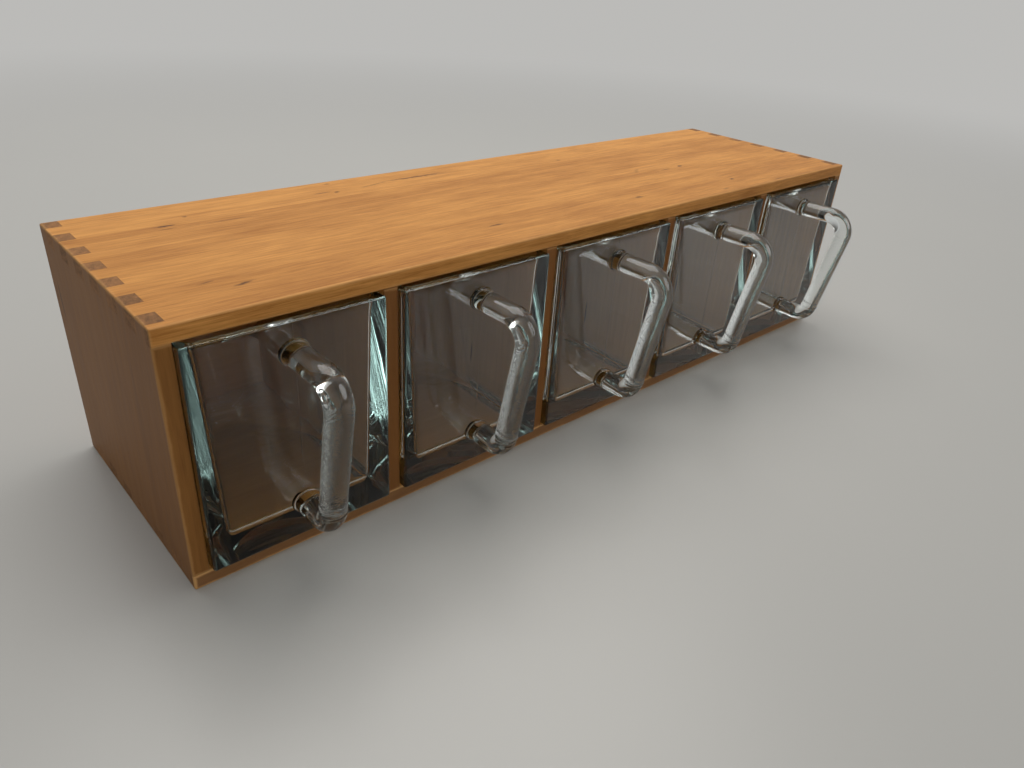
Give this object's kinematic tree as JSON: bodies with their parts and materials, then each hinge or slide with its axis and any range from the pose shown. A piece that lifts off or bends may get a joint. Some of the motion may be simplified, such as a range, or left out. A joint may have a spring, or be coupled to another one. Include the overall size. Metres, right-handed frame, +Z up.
{
  "type": "spice cabinet",
  "caption": "Low finger-jointed wooden spice cabinet whose pressed-glass scoop drawers, each with a bent glass rod handle, slide out of side-by-side bays.",
  "frame": {"origin": "middle of the underside of the case, handles not counted", "axes": "+X along the width to the user's right, +Y to the back, the drawers face -Y, +Z up"},
  "size_m": [0.53, 0.191, 0.132],
  "materials": {
    "case_wood": "oiled fruit wood",
    "panel_wood": "plain plywood",
    "pin_steel": "bright steel",
    "pressed_glass": "clear pressed glass, green in its thickness"
  },
  "bodies": {
    "cabinet": {"top_board": "case_wood", "bottom_board": "case_wood", "left_side": "case_wood", "right_side": "case_wood", "divider_1": "case_wood", "divider_2": "case_wood", "divider_3": "case_wood", "divider_4": "case_wood", "back_panel": "panel_wood", "panel_pin_01": "pin_steel", "panel_pin_02": "pin_steel", "panel_pin_03": "pin_steel", "panel_pin_04": "pin_steel", "panel_pin_05": "pin_steel", "panel_pin_06": "pin_steel", "panel_pin_07": "pin_steel", "panel_pin_08": "pin_steel", "panel_pin_09": "pin_steel", "panel_pin_10": "pin_steel", "panel_pin_11": "pin_steel", "panel_pin_12": "pin_steel", "panel_pin_13": "pin_steel", "panel_pin_14": "pin_steel"},
    "drawer_1": {"glass_drawer_1": "pressed_glass"},
    "drawer_2": {"glass_drawer_2": "pressed_glass"},
    "drawer_3": {"glass_drawer_3": "pressed_glass"},
    "drawer_4": {"glass_drawer_4": "pressed_glass"},
    "drawer_5": {"glass_drawer_5": "pressed_glass"}
  },
  "joints": [
    {"name": "drawer_1_slide", "type": "slide", "parent": "cabinet", "child": "drawer_1", "axis": [0, -1, 0], "range_m": [0, 0.15]},
    {"name": "drawer_2_slide", "type": "slide", "parent": "cabinet", "child": "drawer_2", "axis": [0, -1, 0], "range_m": [0, 0.15]},
    {"name": "drawer_3_slide", "type": "slide", "parent": "cabinet", "child": "drawer_3", "axis": [0, -1, 0], "range_m": [0, 0.15]},
    {"name": "drawer_4_slide", "type": "slide", "parent": "cabinet", "child": "drawer_4", "axis": [0, -1, 0], "range_m": [0, 0.15]},
    {"name": "drawer_5_slide", "type": "slide", "parent": "cabinet", "child": "drawer_5", "axis": [0, -1, 0], "range_m": [0, 0.15]}
  ]
}
